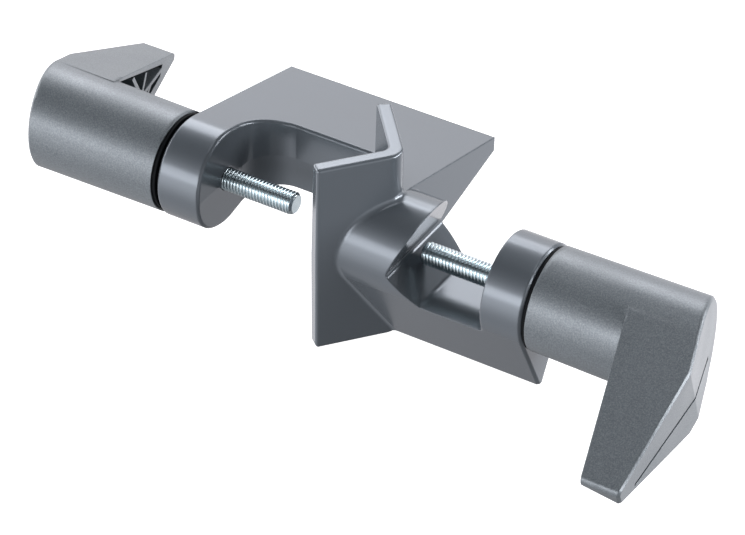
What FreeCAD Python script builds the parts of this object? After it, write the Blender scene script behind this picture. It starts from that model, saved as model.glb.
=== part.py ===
import FreeCAD, Part
import math
import os

import Sketcher

# Double boss clamp: one die-cast body with two C-jaws at right angles on a common
# screw axis, a V plate between them, and two identical screws with moulded lever
# handles. Millimetres. X is the screw axis, Z is up. The origin is where the screw
# axis crosses the axis of the largest stand tube when that tube lies in the V plate.

doc = FreeCAD.newDocument("double_boss_clamp")
sheet = doc.addObject("Spreadsheet::Sheet", "Sizes")

SIZES = [
    # Tube side of the casting
    ("boss_radius", 18.0, "radius of both bosses and of the neck"),
    ("tube_diameter", 34.0, "largest stand tube"),
    ("vee_half_angle", 50.6, "between a wing of the V plate and the screw axis"),
    ("vee_wall", 5.4, "thickness of the V plate at mid height"),
    ("vee_wing", 30.3, "length of a wing along its outer face"),
    ("vee_half_height", 35.6, "height of the V plate above the screw axis"),
    ("vee_draft", 0.5, "mould draft of the V plate"),
    ("vee_outer_bend", 6.2, "rounding of the V plate's outer bend"),
    ("vee_rounding", 1.0, "rounding of the V plate's rims"),
    ("vee_inner_bend", 2.5, "rounding of the V plate's inner bend"),
    ("tube_jaw_face", 39.2, "from the tube axis to the face of the tube jaw"),
    ("tube_boss_length", 16.7, "thickness of the tube jaw's boss"),
    ("plate_depth", 65.6, "from the screw axis to the tube jaw's thin back edge"),
    ("plate_edge", 5.4, "thickness of that back edge"),
    ("plate_overhang", 26.3, "from the tube axis to the right end of the tube jaw"),
    ("slot_depth", 22.0, "from the screw axis to the back wall of the tube slot"),
    ("slot_corner", 13.0, "rounding of the slot's back corner"),
    ("slot_draft", 3.0, "mould draft of the slot's walls"),
    # Rod side of the casting
    ("notch_place", 32.3, "from the tube axis to the bottom of the rod notch"),
    ("notch_upper_angle", 67.9, "upper flank of the notch, from the screw axis"),
    ("notch_lower_angle", 41.2, "lower flank of the notch, from the screw axis"),
    ("notch_root", 2.0, "rounding at the bottom of the notch"),
    ("rod_floor", 10.1, "from the screw axis down to the rod jaw's floor"),
    ("rod_floor_corner", 2.5, "rounding between the floor and the rod jaw's face"),
    ("rod_gap", 34.9, "from the bottom of the notch to the rod jaw's face"),
    ("rod_boss_length", 14.4, "thickness of the rod jaw's boss"),
    ("web_inset", 0.3, "how far the web ends above the V plate's lower rim"),
    ("web_edge", 3.0, "thickness of that lower edge"),
    ("neck_root", 2.0, "fillet between the neck and the V plate"),
    ("boss_bevel", 0.8, "bevel of the bosses' outer rims"),
    ("slot_bevel", 0.8, "bevel of the rims of the tube slot"),
    # Screws
    ("spindle_diameter", 8.0, "outer diameter of the thread"),
    ("thread_clearance", 0.05, "radial clearance of the thread in its boss"),
    ("spindle_reach", 46.2, "from the handle to the tip of the screw"),
    ("spindle_anchor", 32.0, "length moulded into the handle"),
    ("tip_chamfer", 0.9, "chamfer of the tip"),
    # Slip rings between the handles and the bosses
    ("ring_radius", 17.2, "outer radius of the slip ring"),
    ("ring_thickness", 1.3, "thickness of the slip ring"),
    ("ring_bore_clearance", 0.08, "radial clearance of the ring on the thread"),
    ("ring_play", 0.05, "running gap between ring and handle"),
    ("left_ring_gap", 1.1, "gap between the left ring and its boss"),
    ("right_ring_gap", 0.1, "gap between the right ring and its boss"),
    # Handles
    ("barrel_radius", 17.8, "radius of the barrel at its inner end"),
    ("barrel_draft", 0.72, "draft of the barrel, wider outwards"),
    ("barrel_length", 54.1, "length of the barrel on its axis"),
    ("end_rise", 12.1, "slope of the end face from the barrel to its bend"),
    ("end_fall", 4.3, "slope of the end face from its bend to the wing's tip"),
    ("end_lean", 5.4, "slope of the end face across the wing"),
    ("end_bend", 13.3, "from the screw axis to the bend of the end face"),
    ("wing_start", 31.1, "from the barrel's inner end to the wing"),
    ("wing_sweep", 10.9, "outward sweep of the wing's inner side"),
    ("wing_reach", 57.7, "from the screw axis to the wing's tip"),
    ("wing_allowance", 0.3, "length moulded past the end face and trimmed by it"),
    ("wing_tip", 9.7, "thickness of the wing's tip in its outer profile"),
    ("wing_lip", 2.8, "thickness of the wing's tip at its inner side"),
    ("wing_shoulder", 20.7, "from the screw axis to the shoulder in the outer profile"),
    ("wing_shoulder_in", 15.1, "from the screw axis to the shoulder at the inner side"),
    ("wing_rise", 21.3, "height of the shoulder over the axis in the outer profile"),
    ("wing_rise_in", 18.4, "height of the shoulder over the axis at the inner side"),
    ("wing_knee", 1.0, "from the screw axis to the knee beside the barrel"),
    ("wing_knee_rise", 20.6, "height of the knee over the axis in the outer profile"),
    ("wing_root", 5.4, "from the screw axis to where the side leaves the barrel"),
    ("wing_root_rise", 16.9, "height at which the side leaves the barrel, outer profile"),
    ("wing_root_rise_in", 15.9, "height at which the side leaves the barrel, inner side"),
    ("wing_front_wall", 3.4, "wall behind the wing's flat"),
    ("wing_back_wall", 2.5, "wall of the wing's back"),
    ("wing_cell_end", 47.0, "from the screw axis to the far end of the hollow"),
    ("wing_end_wall", 3.4, "wall behind the end face"),
    ("wing_rib", 1.6, "thickness of the ribs in the wing"),
    ("rib_hub", 31.0, "from the screw axis to the meeting of the ribs"),
    ("rib_hub_rise", 7.0, "from the screw axis to the meeting, towards the flat"),
    ("near_rib", 18.7, "place of the near rib at the flat"),
    ("cross_rib", 38.0, "place of the cross rib on the long rib"),
    ("groove_width", 1.7, "width of the groove in the end face"),
    ("groove_depth", 0.9, "depth of that groove"),
    ("groove_start", 3.0, "from the screw axis back to the groove's start"),
    ("groove_start_rise", 9.0, "height of the groove's start"),
    ("groove_bend_rise", 3.0, "height of the groove at the bend of the end face"),
    ("groove_stop", 49.5, "from the screw axis to the groove's far end"),
    ("groove_stop_drop", 8.0, "how far the far end lies towards the flat"),
    ("wing_nose", 2.2, "rounding of the wing's tip"),
    ("end_bevel", 0.8, "bevel of the end face's rim"),
    ("left_turn", -22.2, "turn of the left handle about the screw axis"),
    ("right_turn", -149.4, "turn of the right handle about the screw axis"),
]

for row, (alias, size, note) in enumerate(SIZES, start=1):
    sheet.set(f"A{row}", alias)
    sheet.set(f"B{row}", str(size))
    sheet.set(f"C{row}", note)
    sheet.setAlias(f"B{row}", alias)
doc.recompute()

# Lengths and places that follow from the sizes, as expressions of the sheet
SHEET_NAMES = [alias for alias, size, note in SIZES]


def cells(text):
    """Write the sheet's name in front of each alias in an expression."""
    words = []
    word = ""
    for letter in text + " ":
        if letter.isalnum() or letter == "_":
            word += letter
            continue
        words.append("Sizes." + word if word in SHEET_NAMES else word)
        words.append(letter)
        word = ""
    return "".join(words).strip()


def value(text):
    """Work out an expression of the sheet as a plain number."""
    result = sheet.evalExpression(cells(text))
    return float(getattr(result, "Value", result))


def tilt(name, function):
    """Name a sine, cosine or tangent of an angle of the sheet."""
    return f"{function}({name} * 1 deg)"


VEE_SIN = tilt("vee_half_angle", "sin")
VEE_COS = tilt("vee_half_angle", "cos")
VEE_INNER = f"(tube_diameter / 2 / {VEE_SIN})"
VEE_OUTER = f"({VEE_INNER} + vee_wall / {VEE_SIN})"
VEE_MIDDLE = f"({VEE_INNER} + vee_wall / 2 / {VEE_SIN})"
VEE_END_X = f"({VEE_OUTER} - vee_wing * {VEE_COS})"
VEE_END_Y = f"(vee_wing * {VEE_SIN})"
VEE_LIP_X = f"({VEE_END_X} - vee_wall * {VEE_SIN})"
VEE_LIP_Y = f"({VEE_END_Y} - vee_wall * {VEE_COS})"
LEFT_BOSS_END = "(tube_jaw_face + tube_boss_length)"
ROD_FACE = "(notch_place + rod_gap)"
RIGHT_BOSS_END = f"({ROD_FACE} + rod_boss_length)"
SPINDLE_RADIUS = "(spindle_diameter / 2)"
BORE_RADIUS = f"({SPINDLE_RADIUS} + thread_clearance)"
LEFT_RING = f"({LEFT_BOSS_END} + left_ring_gap)"
RIGHT_RING = f"({RIGHT_BOSS_END} + right_ring_gap)"
LEFT_SEAM = f"({LEFT_RING} + ring_thickness + ring_play)"
RIGHT_SEAM = f"({RIGHT_RING} + ring_thickness + ring_play)"
WEB_DEPTH = "(vee_half_height - web_inset)"
BARREL_SLOPE = tilt("barrel_draft", "tan")
FLAT = f"(barrel_radius + barrel_length * {BARREL_SLOPE})"


def new_body(name):
    body = doc.addObject("PartDesign::Body", name)
    body.Label = name
    return body


def new_sketch(body, name, role, offset="0", turns=()):
    """Attach a sketch to a plane of the body's origin, moved along its normal.

    Each turn is an axis of the sketch and an angle, taken one after the other.
    """
    sketch = body.newObject("Sketcher::SketchObject", name)
    plane = next(item for item in body.Origin.OriginFeatures if item.Role == role)
    sketch.AttachmentSupport = [(plane, "")]
    sketch.MapMode = "FlatFace"
    still = "rotation(vector(0; 0; 1); 0)"
    place = f"placement(vector(0; 0; {offset}); {still})"
    for axis, angle in turns:
        place += f" * placement(vector(0; 0; 0); rotation(vector({axis}); {angle}))"
    sketch.setExpression("AttachmentOffset", cells(place))
    sketch.recompute()
    return sketch


def bind(sketch, constraint, name, text):
    """Add a constraint to a sketch and bind it to an expression of the sheet."""
    index = sketch.addConstraint(constraint)
    sketch.renameConstraint(index, name)
    sketch.setExpression(f"Constraints.{name}", cells(text))


def outline(sketch, corners, tag="corner"):
    """Draw a closed outline whose corners are bound to expressions.

    A corner may name a third size, the radius of its rounding.
    """
    points = [FreeCAD.Vector(value(corner[0]), value(corner[1]), 0) for corner in corners]
    first = sketch.GeometryCount
    count = len(points)
    for start, end in zip(points, points[1:] + points[:1]):
        sketch.addGeometry(Part.LineSegment(start, end), False)
    for step in range(count):
        follower = first + (step + 1) % count
        sketch.addConstraint(Sketcher.Constraint("Coincident", first + step, 2, follower, 1))
    for step, corner in enumerate(corners):
        edge = first + step
        across = Sketcher.Constraint("DistanceX", -1, 1, edge, 1, points[step].x)
        bind(sketch, across, f"{tag}_{step}_x", corner[0])
        along = Sketcher.Constraint("DistanceY", -1, 1, edge, 1, points[step].y)
        bind(sketch, along, f"{tag}_{step}_y", corner[1])
    for step, corner in enumerate(corners):
        if len(corner) < 3:
            continue
        arc = sketch.GeometryCount
        sketch.fillet(first + step, 1, value(corner[2]), True, True)
        bind(sketch, Sketcher.Constraint("Radius", arc, value(corner[2])), f"{tag}_{step}_r", corner[2])


def circle(sketch, radius, name):
    """Draw a circle about the sketch's origin."""
    ring = Part.Circle(FreeCAD.Vector(0, 0, 0), FreeCAD.Vector(0, 0, 1), value(radius))
    index = sketch.addGeometry(ring, False)
    sketch.addConstraint(Sketcher.Constraint("Coincident", index, 3, -1, 1))
    bind(sketch, Sketcher.Constraint("Radius", index, value(radius)), name, radius)


def teardrop(sketch, radius, depth, edge):
    """Draw a circle whose two tangents run together into a thin edge."""
    r = value(radius)
    far = value(depth)
    half = value(edge) / 2
    slope = math.asin(r / math.hypot(far, half)) - math.atan2(half, far)
    start = math.pi / 2 - slope
    arc = Part.ArcOfCircle(
        Part.Circle(FreeCAD.Vector(0, 0, 0), FreeCAD.Vector(0, 0, 1), r), start, 2 * math.pi - start
    )
    upper = FreeCAD.Vector(r * math.cos(start), r * math.sin(start), 0)
    lower = FreeCAD.Vector(upper.x, -upper.y, 0)
    tip_up = FreeCAD.Vector(far, half, 0)
    tip_down = FreeCAD.Vector(far, -half, 0)
    sketch.addGeometry(arc, False)
    sketch.addGeometry(Part.LineSegment(upper, tip_up), False)
    sketch.addGeometry(Part.LineSegment(tip_up, tip_down), False)
    sketch.addGeometry(Part.LineSegment(tip_down, lower), False)
    sketch.addConstraint(Sketcher.Constraint("Coincident", 0, 3, -1, 1))
    sketch.addConstraint(Sketcher.Constraint("Tangent", 0, 1, 1, 1))
    sketch.addConstraint(Sketcher.Constraint("Tangent", 0, 2, 3, 2))
    sketch.addConstraint(Sketcher.Constraint("Coincident", 1, 2, 2, 1))
    sketch.addConstraint(Sketcher.Constraint("Coincident", 2, 2, 3, 1))
    sketch.addConstraint(Sketcher.Constraint("Symmetric", 2, 1, 2, 2, -1))
    bind(sketch, Sketcher.Constraint("Radius", 0, r), "radius", radius)
    bind(sketch, Sketcher.Constraint("DistanceX", -1, 1, 2, 1, far), "depth", depth)
    bind(sketch, Sketcher.Constraint("DistanceY", 2, 2, 2, 1, 2 * half), "edge", edge)


def new_pad(body, name, sketch, length):
    pad = body.newObject("PartDesign::Pad", name)
    pad.Profile = sketch
    pad.setExpression("Length", cells(length))
    return pad


def new_pocket(body, name, sketch, length, along_normal=False, both_ways=False):
    """Cut a sketch out of a body, by default against the sketch's normal."""
    pocket = body.newObject("PartDesign::Pocket", name)
    pocket.Profile = sketch
    pocket.setExpression("Length", cells(length))
    pocket.Reversed = along_normal
    if both_ways:
        pocket.SideType = "Symmetric"
    return pocket


def must_shrink(body, pocket, before):
    """Check that a pocket has taken something away."""
    doc.recompute()
    if not pocket.Shape.Volume < before - 1.0:
        raise RuntimeError(f"{body.Label}: {pocket.Label} cuts nothing")


def edges_where(shape, test):
    """Name the edges of a shape whose middle and direction pass a test."""
    names = []
    for number, edge in enumerate(shape.Edges, start=1):
        if edge.Length < 0.05:
            continue
        middle = edge.valueAt((edge.FirstParameter + edge.LastParameter) / 2)
        run = edge.lastVertex().Point - edge.firstVertex().Point
        if test(edge, middle, run):
            names.append(f"Edge{number}")
    return names


def break_edges(body, name, base, size, test, kind="Fillet"):
    """Round or bevel the edges of a feature that pass a test."""
    doc.recompute()
    names = edges_where(base.Shape, test)
    if not names:
        raise RuntimeError(f"{body.Label}: {name} finds no edge")
    feature = body.newObject(f"PartDesign::{kind}", name)
    feature.Base = (base, names)
    feature.setExpression("Radius" if kind == "Fillet" else "Size", cells(size))
    doc.recompute()
    return feature


def near(one, other, slack=0.05):
    return abs(one - other) < slack


# The casting

VEE_RUN = tilt("vee_half_angle", "tan")
BACK_OF_ALL = "(plate_depth + boss_radius)"


def on_vee_outside(point, slack):
    """Tell whether a point lies on the outer faces of the V plate."""
    angle = math.radians(value("vee_half_angle"))
    away = (point.x - value(VEE_OUTER)) * math.sin(angle) + abs(point.y) * math.cos(angle)
    bend = abs(point.y) < value("vee_outer_bend") and abs(away) < value("vee_outer_bend") / 2
    return abs(away) < slack or bend


def make_tube_jaw():
    """The C-shaped jaw for the stand tube, from the left boss to behind the V plate."""
    body = new_body("tube_jaw")
    section = new_sketch(body, "tube_jaw_section", "YZ_Plane", f"-{LEFT_BOSS_END}")
    teardrop(section, "boss_radius", "plate_depth", "plate_edge")
    prism = new_pad(body, "tube_jaw_prism", section, f"{LEFT_BOSS_END} + plate_overhang")
    doc.recompute()
    before = prism.Shape.Volume

    slot_sketch = new_sketch(body, "tube_slot_outline", "XY_Plane")
    outline(slot_sketch, [
        ("-tube_jaw_face", f"-{BACK_OF_ALL}"),
        ("-tube_jaw_face", "slot_depth", "slot_corner"),
        (f"{VEE_MIDDLE} - slot_depth / {VEE_RUN}", "slot_depth"),
        (VEE_MIDDLE, "0"),
        (BACK_OF_ALL, "0"),
        (BACK_OF_ALL, f"-{BACK_OF_ALL}"),
    ])
    slot = new_pocket(body, "tube_slot", slot_sketch, "boss_radius * 2", True)
    slot.SideType = "Two sides"
    slot.setExpression("Length2", cells("boss_radius * 2"))
    slot.setExpression("TaperAngle", cells("slot_draft"))
    slot.setExpression("TaperAngle2", cells("slot_draft"))
    must_shrink(body, slot, before)

    rims = break_edges(
        body, "tube_slot_rims", slot, "slot_bevel",
        lambda edge, middle, run: edge.Length > value("boss_radius") / 6
        and middle.x > -value("tube_jaw_face") - value("boss_radius") / 9
        and middle.x < value(VEE_LIP_X)
        and abs(middle.z) > value("boss_radius") / 2
        and middle.y < value("slot_depth") + value("boss_radius") / 9
        and abs(run.z) < value("boss_radius") / 2,
        "Chamfer",
    )
    end = break_edges(
        body, "tube_boss_rim", rims, "boss_bevel",
        lambda edge, middle, run: edge.Length > value("plate_edge")
        and near(middle.x, -value(LEFT_BOSS_END)),
        "Chamfer",
    )
    body.Tip = end
    return body


def make_clamp_body():
    body = new_body("clamp_body")

    section = new_sketch(body, "rod_jaw_section", "YZ_Plane", VEE_LIP_X, [("0; 0; 1", "-90")])
    teardrop(section, "boss_radius", WEB_DEPTH, "web_edge")
    prism = new_pad(body, "rod_jaw_prism", section, f"{RIGHT_BOSS_END} - {VEE_LIP_X}")
    doc.recompute()
    before = prism.Shape.Volume
    trim_sketch = new_sketch(body, "neck_start_outline", "XY_Plane")
    far_side = "(boss_radius * 2)"
    outline(trim_sketch, [
        ("0", f"-{far_side}"),
        (f"{VEE_MIDDLE} - {far_side} / {VEE_RUN}", f"-{far_side}"),
        (VEE_MIDDLE, "0"),
        (f"{VEE_MIDDLE} - {far_side} / {VEE_RUN}", far_side),
        ("0", far_side),
    ])
    trim = new_pocket(body, "neck_start", trim_sketch, f"{WEB_DEPTH} * 3", both_ways=True)
    must_shrink(body, trim, before)

    vee_sketch = new_sketch(body, "vee_outline", "XY_Plane")
    outline(vee_sketch, [
        (VEE_INNER, "0", "vee_inner_bend"),
        (VEE_LIP_X, VEE_LIP_Y),
        (VEE_END_X, VEE_END_Y),
        (VEE_OUTER, "0", "vee_outer_bend"),
        (VEE_END_X, f"-{VEE_END_Y}"),
        (VEE_LIP_X, f"-{VEE_LIP_Y}"),
    ])
    vee = new_pad(body, "vee_plate", vee_sketch, "vee_half_height")
    vee.SideType = "Two sides"
    vee.setExpression("Length2", cells("vee_half_height"))
    vee.setExpression("TaperAngle", cells("-vee_draft"))
    vee.setExpression("TaperAngle2", cells("-vee_draft"))
    doc.recompute()
    root = break_edges(
        body, "neck_root_rounding", vee, "neck_root",
        lambda edge, middle, run: on_vee_outside(middle, 0.9)
        and middle.x > value(VEE_END_X) + 1
        and abs(middle.z) < value(WEB_DEPTH) - 0.05
        and math.hypot(middle.y, max(middle.z, 0)) < value("boss_radius") + 0.3
        and not (abs(middle.y) < 0.01 and abs(run.z) > 2 and abs(run.x) < 1),
    )

    break_edges(
        body, "vee_rims", root, "vee_rounding",
        lambda edge, middle, run: near(middle.z, value("vee_half_height"), 0.02)
        or (near(middle.z, -value("vee_half_height"), 0.02) and not on_vee_outside(middle, 1))
        or (abs(run.z) > 10 and middle.y < -value("boss_radius") and middle.x < value(VEE_END_X) + 0.5),
    )

    jaw = make_tube_jaw()
    union = body.newObject("PartDesign::Boolean", "tube_jaw_union")
    union.setObjects([jaw])
    union.Type = "Fuse"
    doc.recompute()

    notch_sketch = new_sketch(body, "rod_notch_outline", "XZ_Plane")
    top = "(boss_radius * 2)"
    outline(notch_sketch, [
        ("notch_place", "0", "notch_root"),
        (f"notch_place + rod_floor / {tilt('notch_lower_angle', 'tan')}", "-rod_floor", "notch_root"),
        (ROD_FACE, "-rod_floor", "rod_floor_corner"),
        (ROD_FACE, top),
        (f"notch_place + {top} / {tilt('notch_upper_angle', 'tan')}", top),
    ])
    before = union.Shape.Volume
    notch = new_pocket(body, "rod_notch", notch_sketch, "boss_radius * 3", both_ways=True)
    must_shrink(body, notch, before)

    rod_end = break_edges(
        body, "rod_boss_rim", notch, "boss_bevel",
        lambda edge, middle, run: edge.Length > value("web_edge") * 1.5
        and near(middle.x, value(RIGHT_BOSS_END)),
        "Chamfer",
    )
    bores = rod_end
    for side, place, length in (
        ("left", f"-{LEFT_BOSS_END}", "tube_boss_length"),
        ("right", ROD_FACE, "rod_boss_length"),
    ):
        before = bores.Shape.Volume
        bore_sketch = new_sketch(body, f"{side}_bore_outline", "YZ_Plane", place)
        circle(bore_sketch, BORE_RADIUS, "radius")
        bores = new_pocket(body, f"{side}_bore", bore_sketch, length, True)
        must_shrink(body, bores, before)

    body.Tip = bores
    return body


# The screws and their handles

def new_placement(body, place, turns):
    """Bind a body's placement: a point on the screw axis, then turns."""
    still = "rotation(vector(0; 0; 1); 0)"
    text = f"placement(vector({place}; 0; 0); {still})"
    for axis, angle in turns:
        text += f" * placement(vector(0; 0; 0); rotation(vector({axis}); {angle}))"
    body.setExpression("Placement", cells(text))


def bar(sketch, start, end, width):
    """Draw a bar of a width between the middles of its two ends."""
    ends = [FreeCAD.Vector(value(x), value(y), 0) for x, y in (start, end)]
    along = ends[1] - ends[0]
    side = along.normalize().cross(FreeCAD.Vector(0, 0, 1)) * value(width) / 2
    corners = [ends[0] - side, ends[0] + side, ends[1] + side, ends[1] - side]
    sketch.addGeometry(Part.LineSegment(ends[0], ends[1]), True)
    for one, other in zip(corners, corners[1:] + corners[:1]):
        sketch.addGeometry(Part.LineSegment(one, other), False)
    for step in range(4):
        follower = 1 + (step + 1) % 4
        sketch.addConstraint(Sketcher.Constraint("Coincident", 1 + step, 2, follower, 1))
    sketch.addConstraint(Sketcher.Constraint("Symmetric", 1, 1, 1, 2, 0, 1))
    sketch.addConstraint(Sketcher.Constraint("Symmetric", 3, 1, 3, 2, 0, 2))
    sketch.addConstraint(Sketcher.Constraint("Perpendicular", 1, 0))
    sketch.addConstraint(Sketcher.Constraint("Perpendicular", 3, 0))
    bind(sketch, Sketcher.Constraint("Distance", 1, value(width)), "width", width)
    sketch.addConstraint(Sketcher.Constraint("Equal", 1, 3))
    for point, (x, y) in enumerate((start, end), start=1):
        across = Sketcher.Constraint("DistanceX", -1, 1, 0, point, value(x))
        bind(sketch, across, f"end_{point}_x", x)
        up = Sketcher.Constraint("DistanceY", -1, 1, 0, point, value(y))
        bind(sketch, up, f"end_{point}_y", y)


def new_rib(body, name, start, end):
    """Add one rib of the wing, drawn on its inner side and run into its end wall."""
    sketch = new_sketch(body, f"{name}_outline", "YZ_Plane", "wing_start", [INNER_TILT])
    bar(sketch, start, end, "wing_rib")
    return new_pad(body, name, sketch, "barrel_length")


INNER_TILT = ("0; -1; 0", "wing_sweep")
SWEEP_COS = tilt("wing_sweep", "cos")


def make_handle(name):
    """Barrel along X with the wing along Y, its flat facing down."""
    body = new_body(name)
    first_end = [("0; -1; 0", "end_rise"), ("-1; 0; 0", "end_lean")]
    second_end = [("0; 1; 0", "end_fall"), ("-1; 0; 0", "end_lean")]
    slope_1 = tilt("end_rise", "tan")
    slope_2 = tilt("end_fall", "tan")
    lean = tilt("end_lean", "tan")
    second_place = f"(barrel_length + end_bend * ({slope_1} + {slope_2}))"
    outer_place = f"({second_place} + {FLAT} * {lean} + wing_allowance)"
    long = "(barrel_length * 1.3)"
    far = f"(barrel_radius + {long} * {BARREL_SLOPE})"

    inner = new_sketch(body, "wing_inner_profile", "YZ_Plane", "wing_start", [INNER_TILT])
    outline(inner, [
        ("0", f"-{FLAT}"),
        (f"wing_reach / {SWEEP_COS}", f"-{FLAT}", "wing_nose"),
        (f"wing_reach / {SWEEP_COS}", f"wing_lip - {FLAT}"),
        (f"wing_shoulder_in / {SWEEP_COS}", "wing_rise_in"),
        (f"wing_knee / {SWEEP_COS}", "barrel_radius"),
        (f"-wing_root / {SWEEP_COS}", "wing_root_rise_in"),
    ])
    outer = new_sketch(body, "wing_outer_profile", "YZ_Plane", outer_place)
    outline(outer, [
        ("0", f"-{FLAT}"),
        ("wing_reach", f"-{FLAT}", "wing_nose"),
        ("wing_reach", f"wing_tip - {FLAT}"),
        ("wing_shoulder", "wing_rise"),
        ("wing_knee", "wing_knee_rise"),
        ("-wing_root", "wing_root_rise"),
    ])
    wing = body.newObject("PartDesign::AdditiveLoft", "wing")
    wing.Profile = inner
    wing.Sections = [outer]
    wing.Ruled = True
    doc.recompute()

    before = wing.Shape.Volume
    back_slope = f"((wing_rise_in - wing_lip + {FLAT}) / (wing_reach - wing_shoulder_in))"
    back_shift = f"(wing_back_wall * sqrt(1 + {back_slope} ^ 2))"
    back_start = f"(wing_rise_in - {back_shift} + {back_slope} * wing_shoulder_in)"
    cell_front = f"(wing_front_wall - {FLAT})"
    cell_place = f"{second_place} - wing_end_wall"
    hollow_sketch = new_sketch(body, "hollow_outline", "YZ_Plane", cell_place, second_end)
    outline(hollow_sketch, [
        ("0", cell_front),
        ("wing_cell_end", cell_front),
        ("wing_cell_end", f"{back_start} - {back_slope} * wing_cell_end"),
        (f"({back_start} - barrel_radius / 2) / {back_slope}", "barrel_radius / 2"),
        ("0", "barrel_radius / 2"),
    ])
    hollow = new_pocket(body, "hollow", hollow_sketch, "barrel_length")
    must_shrink(body, hollow, before)

    barrel_sketch = new_sketch(body, "barrel_profile", "XZ_Plane")
    outline(barrel_sketch, [("0", "0"), (long, "0"), (long, far), ("0", "barrel_radius")])
    barrel = body.newObject("PartDesign::Revolution", "barrel")
    barrel.Profile = barrel_sketch
    barrel.ReferenceAxis = (barrel_sketch, ["H_Axis"])
    barrel.Angle = 360
    doc.recompute()

    hub = (f"rib_hub / {SWEEP_COS}", "-rib_hub_rise")
    tip = (f"wing_cell_end / {SWEEP_COS}", f"{cell_front} + wing_rib / 2")
    share = "((cross_rib - rib_hub) / (wing_cell_end - rib_hub))"
    cross = (
        f"cross_rib / {SWEEP_COS}",
        f"-rib_hub_rise + {share} * ({cell_front} + wing_rib / 2 + rib_hub_rise)",
    )
    cross_foot = (
        f"(cross_rib - 2 * wing_rib) / {SWEEP_COS}",
        f"{back_start} + wing_rib - {back_slope} * cross_rib",
    )
    new_rib(body, "near_rib_bar", hub, (f"near_rib / {SWEEP_COS}", f"{cell_front} - wing_rib / 2"))
    new_rib(body, "middle_rib_bar", hub, hub[:1] + (f"{cell_front} - wing_rib / 2",))
    new_rib(body, "long_rib_bar", hub, tip)
    new_rib(body, "cross_rib_bar", cross, cross_foot)
    last = new_rib(body, "hub_rib_bar", hub, (f"barrel_radius * 0.9 / {SWEEP_COS}", "-rib_hub_rise / 2"))
    doc.recompute()

    end_planes = (("barrel_length", first_end), (second_place, second_end))
    for step, (place, turns) in enumerate(end_planes, start=1):
        before = last.Shape.Volume
        cut_sketch = new_sketch(body, f"end_face_{step}_outline", "YZ_Plane", place, turns)
        reach = "(wing_reach * 1.5)"
        outline(cut_sketch, [
            (f"-{reach}", f"-{reach}"), (reach, f"-{reach}"), (reach, reach), (f"-{reach}", reach),
        ])
        last = new_pocket(body, f"end_face_{step}", cut_sketch, "barrel_length", True)
        must_shrink(body, last, before)

    def on_end_face(point):
        first = value("barrel_length") + value(slope_1) * point.y - value(lean) * point.z
        second = value(second_place) - value(slope_2) * point.y - value(lean) * point.z
        return abs(point.x - min(first, second)) < value("end_bevel") / 2

    rim = break_edges(
        body, "end_rim_bevel", last, "end_bevel",
        lambda edge, middle, run: on_end_face(middle)
        and on_end_face(edge.firstVertex().Point)
        and not (near(middle.y, value("end_bend"), 1.5) and abs(run.z) > 5),
        "Chamfer",
    )

    before = rim.Shape.Volume
    bend = "end_bend"
    rise_cos = tilt("end_rise", "cos")
    fall_cos = tilt("end_fall", "cos")
    grooves = (
        ("barrel_length", first_end, (f"-groove_start / {rise_cos}", "groove_start_rise"),
         (f"{bend} / {rise_cos}", "groove_bend_rise")),
        (second_place, second_end, (f"{bend} / {fall_cos}", "groove_bend_rise"),
         (f"groove_stop / {fall_cos}", "-groove_stop_drop")),
    )
    last = rim
    for step, (place, turns, start, end) in enumerate(grooves, start=1):
        before = last.Shape.Volume
        groove_sketch = new_sketch(body, f"groove_{step}_outline", "YZ_Plane", place, turns)
        bar(groove_sketch, start, end, "groove_width")
        last = new_pocket(body, f"groove_{step}", groove_sketch, "groove_depth")
        must_shrink(body, last, before)

    before = last.Shape.Volume
    seat_sketch = new_sketch(body, "spindle_seat_outline", "YZ_Plane")
    circle(seat_sketch, SPINDLE_RADIUS, "radius")
    seat = new_pocket(body, "spindle_seat", seat_sketch, "spindle_anchor", True)
    must_shrink(body, seat, before)
    body.Tip = seat
    return body


def make_spindle(name):
    """Threaded rod along X, its tip at the far negative end."""
    body = new_body(name)
    outline_sketch = new_sketch(body, "spindle_outline", "YZ_Plane", "-spindle_reach")
    circle(outline_sketch, SPINDLE_RADIUS, "radius")
    rod = new_pad(body, "spindle_rod", outline_sketch, "spindle_reach + spindle_anchor")
    doc.recompute()
    body.Tip = break_edges(
        body, "tip_bevel", rod, "tip_chamfer",
        lambda edge, middle, run: middle.x < 0 and edge.Length > value("spindle_diameter") * 2,
        "Chamfer",
    )
    return body


def make_ring(name):
    """Flat slip ring on the screw, lying against the handle's inner end."""
    body = new_body(name)
    ring_sketch = new_sketch(body, "ring_outline", "YZ_Plane", "-(ring_thickness + ring_play)")
    circle(ring_sketch, "ring_radius", "outer_radius")
    circle(ring_sketch, f"{SPINDLE_RADIUS} + ring_bore_clearance", "inner_radius")
    body.Tip = new_pad(body, "ring_disc", ring_sketch, "ring_thickness")
    return body


casting = make_clamp_body()
parts = [casting]
SIDES = (
    ("left", f"-{LEFT_SEAM}", [("1; 0; 0", "left_turn"), ("0; 1; 0", "180")]),
    ("right", RIGHT_SEAM, [("1; 0; 0", "right_turn")]),
)
for side, place, turns in SIDES:
    for body in (make_handle(f"{side}_handle"), make_spindle(f"{side}_spindle"), make_ring(f"{side}_ring")):
        new_placement(body, place, turns)
        parts.append(body)
doc.recompute()

for item in doc.Objects:
    if "Invalid" in item.State or "Error" in item.State:
        raise RuntimeError(f"{item.Label} is not built")
os.makedirs("parts", exist_ok=True)
for body in parts:
    if not body.Shape.isValid() or len(body.Shape.Solids) != 1:
        raise RuntimeError(f"{body.Label} is not one sound solid")
    body.Shape.exportStep(f"parts/{body.Label}.step")
    print(body.Label, round(body.Shape.Volume), "cubic mm")
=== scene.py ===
"""Looks of a double boss clamp.

A powder-coated casting carries two moulded lever handles on zinc-plated screws.
"""

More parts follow.
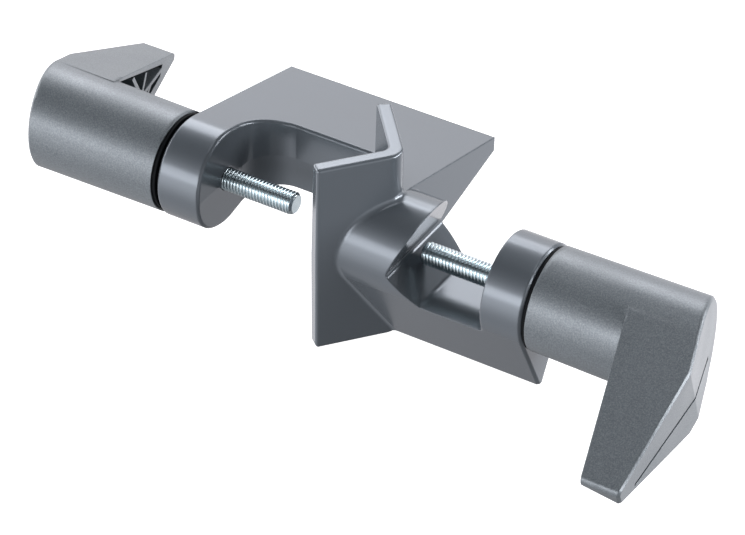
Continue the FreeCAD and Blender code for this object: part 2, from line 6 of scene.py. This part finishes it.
import logging
import math
from dataclasses import dataclass
from enum import Enum

import bmesh
import bpy
import numpy as np
from mathutils import Euler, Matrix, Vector


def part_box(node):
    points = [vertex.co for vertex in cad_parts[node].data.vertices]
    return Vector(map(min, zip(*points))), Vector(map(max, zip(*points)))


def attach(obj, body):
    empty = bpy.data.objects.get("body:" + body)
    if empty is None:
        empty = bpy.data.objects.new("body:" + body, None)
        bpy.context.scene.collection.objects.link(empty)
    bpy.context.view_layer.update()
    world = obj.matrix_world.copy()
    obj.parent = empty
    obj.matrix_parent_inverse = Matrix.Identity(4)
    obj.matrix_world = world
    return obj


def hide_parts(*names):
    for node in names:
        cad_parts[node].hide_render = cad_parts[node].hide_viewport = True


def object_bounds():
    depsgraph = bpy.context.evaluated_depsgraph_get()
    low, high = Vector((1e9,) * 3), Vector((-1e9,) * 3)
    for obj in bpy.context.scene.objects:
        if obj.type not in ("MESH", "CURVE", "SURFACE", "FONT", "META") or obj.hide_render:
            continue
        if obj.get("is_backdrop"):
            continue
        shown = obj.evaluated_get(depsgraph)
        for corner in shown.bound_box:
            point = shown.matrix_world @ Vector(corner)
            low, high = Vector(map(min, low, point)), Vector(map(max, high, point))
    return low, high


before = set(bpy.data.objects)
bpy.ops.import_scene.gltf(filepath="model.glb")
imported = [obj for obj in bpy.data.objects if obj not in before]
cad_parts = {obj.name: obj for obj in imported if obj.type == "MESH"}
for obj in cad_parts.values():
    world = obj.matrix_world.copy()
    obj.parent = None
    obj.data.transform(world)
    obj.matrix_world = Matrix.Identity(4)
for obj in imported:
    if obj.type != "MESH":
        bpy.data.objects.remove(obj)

LOG = logging.getLogger("double_boss_clamp")
MM = 0.001
FULL_TURN = 2 * math.pi

# Most of a noise pattern lies between these two values.
NOISE_LOW, NOISE_HIGH = 0.3, 0.7
# Rays that a rounded edge or a crevice is felt out with.
SHADING_RAYS = 8
# Points nearer than this are one point, in millimetres.
WELD_DISTANCE = 0.002
# A Mix node's colour sockets go by number, because their names repeat.
MIX_SHARE, MIX_FIRST, MIX_SECOND, MIX_RESULT = 0, 6, 7, 2


class Side(Enum):
    """The two screws: each value is the direction in which its handle points along X."""

    LEFT = -1
    RIGHT = 1

    @property
    def label(self) -> str:
        """The side's word in the names of nodes and bodies."""
        return self.name.lower()


def linear(code: str) -> tuple[float, float, float, float]:
    """Turn an sRGB hex colour into linear red, green, blue and alpha.

    Args:
        code: six hex digits after a hash sign.

    Returns:
        The colour as Blender's sockets take it.
    """
    parts = np.array([int(code[start:start + 2], 16) for start in (1, 3, 5)]) / 255
    curve = np.where(parts <= 0.04045, parts / 12.92, ((parts + 0.055) / 1.055) ** 2.4)
    return (*curve.tolist(), 1.0)


def pitch(width: float) -> float:
    """The scale of a pattern on Object coordinates whose grain is width millimetres wide."""
    return 1 / (width * MM)


def add(
    tree: bpy.types.NodeTree,
    kind: str,
    settings: dict | None = None,
    links: dict | None = None,
) -> bpy.types.Node:
    """Add a node to a tree.

    Args:
        tree: the tree that the node goes into.
        kind: the node's type without the leading ShaderNode.
        settings: its properties and input values, by name.
        links: the output that feeds each input, by the input's name or number.

    Returns:
        The new node.
    """
    node = tree.nodes.new("ShaderNode" + kind)
    for name, value in (settings or {}).items():
        if isinstance(name, int) or name in node.inputs:
            node.inputs[name].default_value = value
        else:
            setattr(node, name, value)
    for name, source in (links or {}).items():
        tree.links.new(source, node.inputs[name])
    return node


def fresh_material(name: str) -> tuple[bpy.types.Material, bpy.types.NodeTree]:
    """Make an empty node material.

    Args:
        name: the material's name.

    Returns:
        The material and its node tree.
    """
    material = bpy.data.materials.new(name)
    material.use_nodes = True
    material.node_tree.nodes.clear()
    return material, material.node_tree


def close_shader(tree: bpy.types.NodeTree, shader: bpy.types.Node) -> None:
    """Feed a shader to the tree's output."""
    add(tree, "OutputMaterial", links={"Surface": shader.outputs[0]})


def dress(piece: bpy.types.Object, material: bpy.types.Material) -> None:
    """Put one material into every slot of a piece.

    Args:
        piece: the object to be dressed.
        material: its material.
    """
    if not piece.material_slots:
        piece.data.materials.append(material)
    for slot in piece.material_slots:
        slot.material = material


# Finishes, whose widths, heights, reaches and radii are millimetres


@dataclass(frozen=True)
class PowderCoat:
    """Semi-gloss grey metallic powder coat, baked on the die casting.

    The melted powder carries fine aluminium flake, which takes light from its dark side
    and adds it to the glancing shine. It flows into a smooth skin with a very faint orange
    peel, so that reflections of the studio have soft borders, and rounds every cast edge.
    """

    colour: str = "#5B6268"
    colour_deep: str = "#596065"
    metallic: float = 0.4
    roughness: float = 0.2
    roughness_swing: float = 0.02
    peel_width: float = 6.0
    peel_height: float = 0.004
    patch_width: float = 28.0
    edge_radius: float = 0.8

    def material(self) -> bpy.types.Material:
        """Build the coat's material.

        Returns:
            The material for the casting.
        """
        material, tree = fresh_material("powder_coat_on_die_casting")
        place = add(tree, "TexCoord").outputs["Object"]
        patches = add(tree, "TexNoise", {"Scale": pitch(self.patch_width), "Detail": 3.0},
                      {"Vector": place})
        peel = add(tree, "TexNoise", {"Scale": pitch(self.peel_width), "Detail": 1.0},
                   {"Vector": place})
        colour = add(tree, "Mix", {
            "data_type": "RGBA",
            MIX_FIRST: linear(self.colour_deep),
            MIX_SECOND: linear(self.colour),
        }, {MIX_SHARE: patches.outputs["Fac"]})
        roughness = add(tree, "MapRange", {
            "From Min": NOISE_LOW, "From Max": NOISE_HIGH,
            "To Min": self.roughness - self.roughness_swing,
            "To Max": self.roughness + self.roughness_swing,
        }, {"Value": patches.outputs["Fac"]})
        edge = add(tree, "Bevel", {"samples": SHADING_RAYS, "Radius": self.edge_radius * MM})
        skin = add(tree, "Bump", {"Distance": self.peel_height * MM},
                   {"Height": peel.outputs["Fac"], "Normal": edge.outputs["Normal"]})
        shader = add(tree, "BsdfPrincipled", {"Metallic": self.metallic}, {
            "Base Color": colour.outputs[MIX_RESULT],
            "Roughness": roughness.outputs["Result"],
            "Normal": skin.outputs["Normal"],
        })
        close_shader(tree, shader)
        return material


@dataclass(frozen=True)
class ErodedPlastic:
    """Glass-filled nylon, moulded against a coarse spark-eroded steel wall.

    The mould's pits leave a dense grain of matt specks, so that highlights break up into sparkle
    and spread wide.
    The grain's colour follows the same noise as its bumps: its own mottled tone, with a painted
    highlight on the specks' tops and painted shade in the pits. Such a grain is usually about 0.1
    mm, too fine to show in the render, so it is drawn about as coarse as specks can show there.
    """

    colour: str = "#62696D"
    # The speck colour is partly a painted highlight on the grain's tops, and the pit colour partly
    # painted shade in its hollows.
    speck_highlight: str = "#70787B"
    pit_shade: str = "#545B5F"
    metallic: float = 0.3
    roughness: float = 0.33
    roughness_swing: float = 0.05
    grain_width: float = 0.45
    grain_height: float = 0.022
    grain_raggedness: float = 0.6
    pit_level: float = 0.34
    body_level: float = 0.52
    speck_level: float = 0.70
    patch_width: float = 30.0
    edge_radius: float = 0.4
    root_radius: float = 2.4
    root_end: float = 20.0
    root_height: float = 14.5
    root_fade: float = 1.0
    # Painted shade in crevices: how far the occlusion looks, the openness that is fully shaded and
    # fully clear, and the shade's colour.
    crevice_reach: float = 1.4
    crevice_dark: float = 0.45
    crevice_open: float = 0.9
    crevice_shade_colour: str = "#1E2224"

    def material(self) -> bpy.types.Material:
        """Build the plastic's material.

        Returns:
            The material for the handles.
        """
        material, tree = fresh_material("spark_eroded_glass_filled_nylon")
        place = add(tree, "TexCoord").outputs["Object"]
        grain = add(tree, "TexNoise", {
            "Scale": pitch(self.grain_width), "Detail": 3.0, "Roughness": self.grain_raggedness,
        }, {"Vector": place})
        patches = add(tree, "TexNoise", {"Scale": pitch(self.patch_width), "Detail": 2.0},
                      {"Vector": place})
        # The colour follows the bump's height: the grain's own tone with a painted highlight on
        # tops and painted shade in pits.
        colour = add(tree, "ValToRGB", links={"Fac": grain.outputs["Fac"]})
        ramp = colour.color_ramp
        ramp.elements[0].position, ramp.elements[0].color = self.pit_level, linear(self.pit_shade)
        ramp.elements[1].position, ramp.elements[1].color = self.speck_level, linear(self.speck_highlight)
        middle = ramp.elements.new(self.body_level)
        middle.color = linear(self.colour)
        roughness = add(tree, "MapRange", {
            "From Min": NOISE_LOW, "From Max": NOISE_HIGH,
            "To Min": self.roughness - self.roughness_swing,
            "To Max": self.roughness + self.roughness_swing,
        }, {"Value": patches.outputs["Fac"]})
        # On top of the barrels, near the screw axis, edges get a wide blend, for the root of
        # the left wing.
        across = add(tree, "VectorMath", {"operation": "MULTIPLY", 1: (0.0, 1.0, 1.0)}, {0: place})
        away = add(tree, "VectorMath", {"operation": "LENGTH"}, {0: across.outputs["Vector"]})
        near = add(tree, "Math", {"operation": "LESS_THAN", 1: self.root_end * MM},
                   {0: away.outputs["Value"]})
        height = add(tree, "SeparateXYZ", links={"Vector": place})
        upper = add(tree, "MapRange", {
            "From Min": (self.root_height - self.root_fade) * MM, "From Max": self.root_height * MM,
        }, {"Value": height.outputs["Z"]})
        both = add(tree, "Math", {"operation": "MULTIPLY"},
                   {0: near.outputs[0], 1: upper.outputs["Result"]})
        blend = add(tree, "MapRange", {
            "To Min": self.edge_radius * MM, "To Max": self.root_radius * MM,
        }, {"Value": both.outputs[0]})
        edge = add(tree, "Bevel", {"samples": SHADING_RAYS}, {"Radius": blend.outputs["Result"]})
        skin = add(tree, "Bump", {"Distance": self.grain_height * MM},
                   {"Height": grain.outputs["Fac"], "Normal": edge.outputs["Normal"]})
        # Painted shade: the base colour is mixed towards a near-black shade colour where ambient
        # occlusion finds little open sky, in the narrow groove, the hollow's corners and the gaps,
        # because little light gets out of them; on top near the wing's root the painted shade is
        # held off.
        open_sky = add(tree, "AmbientOcclusion",
                       {"samples": SHADING_RAYS, "Distance": self.crevice_reach * MM})
        depth = add(tree, "MapRange", {
            "From Min": self.crevice_dark, "From Max": self.crevice_open,
        }, {"Value": open_sky.outputs["AO"]})
        bright = add(tree, "Math", {"operation": "MAXIMUM"},
                     {0: depth.outputs["Result"], 1: both.outputs[0]})
        shaded = add(tree, "Mix", {"data_type": "RGBA", MIX_FIRST: linear(self.crevice_shade_colour)},
                     {MIX_SHARE: bright.outputs[0], MIX_SECOND: colour.outputs["Color"]})
        shader = add(tree, "BsdfPrincipled", {"Metallic": self.metallic}, {
            "Base Color": shaded.outputs[MIX_RESULT],
            "Roughness": roughness.outputs["Result"],
            "Normal": skin.outputs["Normal"],
        })
        close_shader(tree, shader)
        return material


@dataclass(frozen=True)
class ZincPlate:
    """Bright zinc plate on a rolled steel thread.

    Rolling leaves the flanks smooth, and the thin plate turns slightly satin and cool,
    so that the crests glitter and the roots stay dark between them.
    """

    colour: str = "#CEDADD"
    colour_dull: str = "#AFBCC1"
    roughness: float = 0.22
    roughness_swing: float = 0.02
    streak_width: float = 0.8
    patch_width: float = 4.0

    def material(self) -> bpy.types.Material:
        """Build the plate's material.

        Returns:
            The material for the screws.
        """
        material, tree = fresh_material("bright_zinc_plated_rolled_steel")
        place = add(tree, "TexCoord").outputs["Object"]
        patches = add(tree, "TexNoise", {"Scale": pitch(self.patch_width), "Detail": 3.0},
                      {"Vector": place})
        fine = add(tree, "TexNoise", {"Scale": pitch(self.streak_width), "Detail": 2.0},
                   {"Vector": place})
        colour = add(tree, "Mix", {
            "data_type": "RGBA",
            MIX_FIRST: linear(self.colour_dull),
            MIX_SECOND: linear(self.colour),
        }, {MIX_SHARE: patches.outputs["Fac"]})
        roughness = add(tree, "MapRange", {
            "From Min": NOISE_LOW, "From Max": NOISE_HIGH,
            "To Min": self.roughness - self.roughness_swing,
            "To Max": self.roughness + self.roughness_swing,
        }, {"Value": fine.outputs["Fac"]})
        shader = add(tree, "BsdfPrincipled", {"Metallic": 1.0}, {
            "Base Color": colour.outputs[MIX_RESULT],
            "Roughness": roughness.outputs["Result"],
        })
        close_shader(tree, shader)
        return material


@dataclass(frozen=True)
class BlackAcetal:
    """Black acetal, turned from bar.

    It stays near black, with a dull, weak shine and the fine unevenness that turning leaves.
    """

    colour: str = "#05090C"
    roughness: float = 0.7
    roughness_fall: float = 0.05
    roughness_rise: float = 0.08
    specular_level: float = 0.12
    tooling_width: float = 0.35
    tooling_height: float = 0.006

    def material(self) -> bpy.types.Material:
        """Build the acetal's material.

        Returns:
            The material for the slip rings.
        """
        material, tree = fresh_material("black_turned_acetal")
        place = add(tree, "TexCoord").outputs["Object"]
        tooling = add(tree, "TexNoise", {"Scale": pitch(self.tooling_width), "Detail": 2.0},
                      {"Vector": place})
        skin = add(tree, "Bump", {"Distance": self.tooling_height * MM},
                   {"Height": tooling.outputs["Fac"]})
        roughness = add(tree, "MapRange", {
            "From Min": NOISE_LOW, "From Max": NOISE_HIGH,
            "To Min": self.roughness - self.roughness_fall,
            "To Max": self.roughness + self.roughness_rise,
        }, {"Value": tooling.outputs["Fac"]})
        shader = add(tree, "BsdfPrincipled", {
            "Base Color": linear(self.colour), "Specular IOR Level": self.specular_level,
        }, {
            "Roughness": roughness.outputs["Result"],
            "Normal": skin.outputs["Normal"],
        })
        close_shader(tree, shader)
        return material


@dataclass(frozen=True)
class StudioPaper:
    """Matt white paper of the studio table, lit from behind until it is plain white."""

    colour: str = "#BCBCBC"
    roughness: float = 0.9
    glow: float = 1.0
    glow_colour: str = "#FFFFFF"

    def material(self) -> bpy.types.Material:
        """Build the paper's material.

        Returns:
            The material for the floor.
        """
        material, tree = fresh_material("matt_studio_paper")
        shader = add(tree, "BsdfPrincipled", {
            "Base Color": linear(self.colour),
            "Roughness": self.roughness,
            "Emission Color": linear(self.glow_colour),
            "Emission Strength": self.glow,
        })
        close_shader(tree, shader)
        return material


# Surfaces


def skin_mesh(
    name: str, grid: np.ndarray, closed_rows: bool, sharp_angle: float,
) -> bpy.types.Object:
    """Make a mesh from a grid of points whose columns go once round.

    Args:
        name: the piece's name.
        grid: points in metres, as rows by columns by three.
        closed_rows: whether the last row joins the first; if not, each end row is closed by a fan.
        sharp_angle: degrees between two faces above which their edge stays crisp.

    Returns:
        The object, linked to the scene, at the origin.
    """
    rows, columns = grid.shape[:2]
    points = grid.reshape(-1, 3)
    index = np.arange(rows * columns).reshape(rows, columns)
    across = np.roll(index, -1, axis=1)
    if closed_rows:
        below, below_across = np.roll(index, -1, axis=0), np.roll(across, -1, axis=0)
        quads = np.stack([index, across, below_across, below], axis=-1).reshape(-1, 4)
        faces = quads.tolist()
    else:
        quads = np.stack([index[:-1], across[:-1], across[1:], index[1:]], axis=-1).reshape(-1, 4)
        ends = np.array([grid[0].mean(axis=0), grid[-1].mean(axis=0)])
        first, last = len(points), len(points) + 1
        points = np.vstack([points, ends])
        start_fan = np.stack([index[0], np.full(columns, first), across[0]], axis=-1)
        end_fan = np.stack([index[-1], across[-1], np.full(columns, last)], axis=-1)
        faces = quads.tolist() + start_fan.tolist() + end_fan.tolist()
    mesh = bpy.data.meshes.new(name)
    mesh.from_pydata(points.tolist(), [], faces)
    weld(mesh)
    mesh.polygons.foreach_set("use_smooth", np.ones(len(mesh.polygons), bool))
    mesh.set_sharp_from_angle(angle=math.radians(sharp_angle))
    piece = bpy.data.objects.new(name, mesh)
    bpy.context.scene.collection.objects.link(piece)
    return piece


def weld(mesh: bpy.types.Mesh) -> None:
    """Merge a mesh's doubled points and turn its faces outwards.

    Args:
        mesh: the mesh, which is changed in place.
    """
    work = bmesh.new()
    work.from_mesh(mesh)
    bmesh.ops.remove_doubles(work, verts=work.verts, dist=WELD_DISTANCE * MM)
    bmesh.ops.recalc_face_normals(work, faces=work.faces)
    work.to_mesh(mesh)
    work.free()


# Sub-assemblies


@dataclass
class Casting:
    """The die-cast body: its solid keeps its shape and gets the coat."""

    node: str = "clamp_body"
    finish: PowderCoat = PowderCoat()

    def dress(self) -> bpy.types.Object:
        """Coat the casting.

        Returns:
            The casting's object.
        """
        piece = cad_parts[self.node]
        dress(piece, self.finish.material())
        return piece


@dataclass
class Handle:
    """A moulded lever handle: its solid keeps its shape and gets the eroded grain."""

    side: Side
    material: bpy.types.Material

    def dress(self) -> bpy.types.Object:
        """Give the handle its grain.

        Returns:
            The handle's object.
        """
        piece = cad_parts[f"{self.side.label}_handle"]
        dress(piece, self.material)
        return piece


@dataclass
class Spindle:
    """A screw with a rolled thread from its tip to the handle and a plain end inside the handle.

    Lengths are millimetres. The metric thread's crests and roots are rounded by rolling.
    """

    side: Side
    material: bpy.types.Material
    thread_pitch: float = 1.25
    crest_radius: float = 3.98
    root_radius: float = 3.24
    rows_per_turn: int = 14
    anchor: float = 32.0
    tip_chamfer: float = 0.9
    columns: int = 80
    sharp_angle: float = 42.0

    def stations(self) -> tuple[np.ndarray, np.ndarray]:
        """Where one turn's rows lie, as shares of the pitch, and their radii in millimetres.

        The radius is the middle one plus half the thread's depth times the sine of a right
        angle times the cosine of the share of a turn. That holds crest and root wide and
        round, and keeps the flanks between them steep.

        Returns:
            The shares and the radii, one per row.
        """
        shares = np.arange(self.rows_per_turn) / self.rows_per_turn
        middle = (self.crest_radius + self.root_radius) / 2
        reach = (self.crest_radius - self.root_radius) / 2
        swing = np.cos(FULL_TURN * shares)
        return shares, middle + reach * np.sin(swing * math.pi / 2)

    def grid(self) -> np.ndarray:
        """Points of the screw's surface.

        Each row follows the helix: its distance from the tip is the row's share of the
        pitch plus one pitch per turn of the angle, and its radius is that of the thread's
        profile there. Rows past either end are pressed onto that end, and the tip's
        chamfer limits the radius to the end's radius plus the distance from it.

        Returns:
            The grid in metres, as rows by columns by three.
        """
        low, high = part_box(f"{self.side.label}_spindle")
        length = (high.x - low.x) / MM - self.anchor
        shares, radii = self.stations()
        # One turn more at either end, because the helix runs in from before the tip and out
        # past the handle.
        turns = math.ceil(length / self.thread_pitch) + 2
        steps = (np.arange(turns)[:, None] + shares[None, :] - 1).ravel() * self.thread_pitch
        angle = np.arange(self.columns) / self.columns * FULL_TURN
        # A right-hand helix runs along X with the angle from Y to Z, which leads away from
        # the tip on the right screw and towards it on the left one.
        twist = self.side.value * angle / FULL_TURN
        twist -= twist.min()
        along = steps[:, None] + twist[None, :] * self.thread_pitch
        along = np.clip(along, 0, length)
        radius = np.broadcast_to(np.tile(radii, turns)[:, None], along.shape)
        radius = np.minimum(radius, self.crest_radius - self.tip_chamfer + along)
        shank = np.array([[length, self.root_radius], [length + self.anchor, self.root_radius]])
        along = np.vstack([along, np.repeat(shank[:, :1], self.columns, axis=1)])
        radius = np.vstack([radius, np.repeat(shank[:, 1:], self.columns, axis=1)])
        tip = (high.x if self.side is Side.LEFT else low.x) / MM
        across = tip + self.side.value * along
        points = np.stack([across, radius * np.cos(angle), radius * np.sin(angle)], axis=-1)
        return points * MM

    def build(self) -> bpy.types.Object:
        """Make the screw and put it in the place of its solid.

        Returns:
            The screw's object.
        """
        name = f"{self.side.label}_threaded_spindle"
        piece = skin_mesh(name, self.grid(), False, self.sharp_angle)
        dress(piece, self.material)
        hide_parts(f"{self.side.label}_spindle")
        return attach(piece, f"{self.side.label}_screw")


@dataclass
class SlipRing:
    """A turned ring between handle and boss, its rims broken by a small rounding.

    Lengths are millimetres.
    """

    side: Side
    material: bpy.types.Material
    bore_radius: float = 4.1
    rim_radius: float = 0.3
    corner_steps: int = 5
    columns: int = 128
    sharp_angle: float = 60.0

    def grid(self) -> np.ndarray:
        """Points of the ring's surface.

        The section is a rectangle from the bore to the rim and from face to face, whose
        corners are quarter circles. It is carried once round the screw axis.

        Returns:
            The grid in metres, as section points by columns by three.
        """
        low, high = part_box(f"{self.side.label}_ring")
        outer = high.z / MM
        near, far = low.x / MM, high.x / MM
        # Each corner's place along the axis and out from it, and the degrees that its arc ends at.
        corners = (
            (near, self.bore_radius, 180),
            (near, outer, 90),
            (far, outer, 0),
            (far, self.bore_radius, 270),
        )
        section = []
        for along, out, last in corners:
            sweep = np.radians(last + np.linspace(90, 0, self.corner_steps))
            inward_x = self.rim_radius if along == near else -self.rim_radius
            inward_r = self.rim_radius if out == self.bore_radius else -self.rim_radius
            arc_x = along + inward_x + self.rim_radius * np.cos(sweep)
            arc_r = out + inward_r + self.rim_radius * np.sin(sweep)
            section.append(np.stack([arc_x, arc_r], axis=-1))
        profile = np.vstack(section)
        angle = np.arange(self.columns) / self.columns * FULL_TURN
        across = np.broadcast_to(profile[:, :1], (len(profile), self.columns))
        outward = profile[:, 1:]
        points = np.stack([across, outward * np.cos(angle), outward * np.sin(angle)], axis=-1)
        return points * MM

    def build(self) -> bpy.types.Object:
        """Make the ring and put it in the place of its solid.

        Returns:
            The ring's object.
        """
        piece = skin_mesh(f"{self.side.label}_slip_ring", self.grid(), True, self.sharp_angle)
        dress(piece, self.material)
        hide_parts(f"{self.side.label}_ring")
        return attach(piece, f"{self.side.label}_slip")


# Studio


def heading(azimuth: float, elevation: float) -> tuple[float, float, float]:
    """The unit vector towards a light.

    Its height is the sine of the elevation, and the cosine of the elevation goes to X and
    Y as the azimuth's cosine and sine.

    Args:
        azimuth: degrees from X towards Y.
        elevation: degrees above the table.

    Returns:
        The vector's three parts.
    """
    turn, rise = math.radians(azimuth), math.radians(elevation)
    return math.cos(rise) * math.cos(turn), math.cos(rise) * math.sin(turn), math.sin(rise)


@dataclass(frozen=True)
class Softbox:
    """A rectangular lamp that looks at the middle of the object.

    Angles are degrees and lengths are metres.
    """

    name: str
    azimuth: float
    elevation: float
    distance: float
    width: float
    height: float
    radiance: float

    def place(self, centre: Vector, light: str) -> None:
        """Hang the lamp.

        Args:
            centre: the point that it looks at, in metres.
            light: the colour of its light.
        """
        lamp = bpy.data.lights.new(self.name, "AREA")
        lamp.color = linear(light)[:3]
        lamp.shape = "RECTANGLE"
        lamp.size, lamp.size_y = self.width, self.height
        # A lamp's power over its area and pi is how bright its face is.
        lamp.energy = self.radiance * self.width * self.height * math.pi
        away = Vector(heading(self.azimuth, self.elevation))
        holder = bpy.data.objects.new(self.name, lamp)
        holder.location = centre + away * self.distance
        holder.rotation_euler = away.to_track_quat("Z", "Y").to_euler()
        bpy.context.scene.collection.objects.link(holder)


@dataclass(frozen=True)
class Glow:
    """A soft pool of light on the room's walls, ceiling or ground."""

    azimuth: float
    elevation: float
    radiance: float

    def strength(
        self, tree: bpy.types.NodeTree, direction: bpy.types.NodeSocket, focus: float,
    ) -> bpy.types.NodeSocket:
        """Add the pool to the room's nodes.

        The pool fades as the exponential of focus times the cosine of the angle from its
        middle less one.

        Args:
            tree: the room's node tree.
            direction: the unit vector in which the light is looked up.
            focus: how narrow the pool is.

        Returns:
            The socket with the pool's radiance.
        """
        towards = heading(self.azimuth, self.elevation)
        cosine = add(tree, "VectorMath", {"operation": "DOT_PRODUCT", 1: towards}, {0: direction})
        power = add(tree, "Math", {"operation": "MULTIPLY_ADD", 1: focus, 2: -focus},
                    {0: cosine.outputs["Value"]})
        fade = add(tree, "Math", {"operation": "EXPONENT"}, {0: power.outputs[0]})
        pool = add(tree, "Math", {"operation": "MULTIPLY", 1: self.radiance}, {0: fade.outputs[0]})
        return pool.outputs[0]


@dataclass(frozen=True)
class Studio:
    """White table, soft lamps and the camera of the photograph."""

    paper: StudioPaper = StudioPaper()
    floor_reach: float = 3.0
    light: str = "#FAF8FC"
    focus: float = 8.0
    glows: tuple[Glow, ...] = (
        Glow(120.0, 30.0, 2.45),
        Glow(245.0, 0.0, 3.47),
        Glow(90.0, -30.0, 1.50),
        Glow(155.0, 0.0, 1.30),
        Glow(180.0, -30.0, 1.99),
        Glow(335.0, 0.0, 1.11),
        Glow(270.0, -60.0, 1.03),
        Glow(20.0, 0.0, 1.02),
        Glow(45.0, -30.0, 0.41),
    )
    lamps: tuple[Softbox, ...] = (
        Softbox("back_left_softbox", 140.0, 38.0, 1.3, 0.75, 0.55, 4.3),
        Softbox("right_strip", 10.0, 12.0, 1.3, 0.75, 0.42, 16.2),
        Softbox("front_strip", 270.0, 12.0, 1.3, 0.75, 0.42, 4.2),
        Softbox("back_softbox", 100.0, 38.0, 1.3, 0.75, 0.55, 3.0),
        Softbox("front_left_strip", 240.0, 12.0, 1.3, 0.75, 0.42, 3.0),
        Softbox("top_softbox", 0.0, 90.0, 1.3, 0.6, 0.6, 1.8),
        Softbox("right_back_strip", 40.0, 12.0, 1.3, 0.75, 0.42, 10.4),
        Softbox("left_front_strip", 210.0, 12.0, 1.3, 0.75, 0.42, 3.0),
        Softbox("left_strip", 180.0, 12.0, 1.3, 0.75, 0.42, 6.3),
    )
    camera_place: tuple[float, float, float] = (0.41515, -0.6896, 0.5926)
    camera_turns: tuple[float, float, float] = (52.5494, -1.1053, 30.7359)
    focal_length: float = 146.848
    sensor_width: float = 36.0
    shift: tuple[float, float] = (-0.004827, 0.009126)

    def lay_floor(self) -> None:
        """Lay the table top at the lowest point of the object."""
        low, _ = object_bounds()
        reach, top = self.floor_reach, low[2]
        corners = [
            (-reach, -reach, top), (reach, -reach, top), (reach, reach, top), (-reach, reach, top),
        ]
        mesh = bpy.data.meshes.new("studio_table")
        mesh.from_pydata(corners, [], [(0, 1, 2, 3)])
        floor = bpy.data.objects.new("studio_table", mesh)
        bpy.context.scene.collection.objects.link(floor)
        dress(floor, self.paper.material())
        # The white table isn't mirrored in the coat, whose low faces would turn pale.
        floor.visible_diffuse = False
        floor.visible_glossy = False
        floor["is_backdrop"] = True

    def fill_room(self) -> None:
        """Light the room with its soft pools."""
        world = bpy.data.worlds.new("studio_room")
        world.use_nodes = True
        tree = world.node_tree
        tree.nodes.clear()
        place = add(tree, "TexCoord").outputs["Generated"]
        unit = add(tree, "VectorMath", {"operation": "NORMALIZE"}, {0: place})
        direction = unit.outputs["Vector"]
        total = None
        for glow in self.glows:
            pool = glow.strength(tree, direction, self.focus)
            if total is None:
                total = pool
            else:
                total = add(tree, "Math", {"operation": "ADD"}, {0: total, 1: pool}).outputs[0]
        light = add(tree, "Background", {"Color": linear(self.light)}, {"Strength": total})
        add(tree, "OutputWorld", links={"Surface": light.outputs[0]})
        bpy.context.scene.world = world

    def set_camera(self) -> None:
        """Put the camera where the photograph was taken from."""
        lens = bpy.data.cameras.new("camera")
        lens.lens = self.focal_length
        lens.sensor_width = self.sensor_width
        lens.shift_x, lens.shift_y = self.shift
        holder = bpy.data.objects.new("camera", lens)
        holder.location = self.camera_place
        holder.rotation_euler = Euler([math.radians(turn) for turn in self.camera_turns])
        bpy.context.scene.collection.objects.link(holder)
        bpy.context.scene.camera = holder

    def build(self) -> None:
        """Set up the table, the lamps and the camera."""
        self.lay_floor()
        self.fill_room()
        low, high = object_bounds()
        centre = (Vector(low) + Vector(high)) / 2
        for lamp in self.lamps:
            lamp.place(centre, self.light)
        self.set_camera()
        bpy.context.scene.view_settings.view_transform = "Standard"


def main() -> None:
    """Build and dress every piece, then the studio, and report each one."""
    logging.basicConfig(level=logging.INFO, format="%(message)s")
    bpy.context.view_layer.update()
    grain = ErodedPlastic().material()
    plate = ZincPlate().material()
    acetal = BlackAcetal().material()
    pieces = [Casting().dress()]
    for side in Side:
        pieces.append(Handle(side, grain).dress())
        pieces.append(Spindle(side, plate).build())
        pieces.append(SlipRing(side, acetal).build())
    for piece in pieces:
        LOG.info("%s: %d faces", piece.name, len(piece.data.polygons))
    Studio().build()


if __name__ == "__main__":
    main()
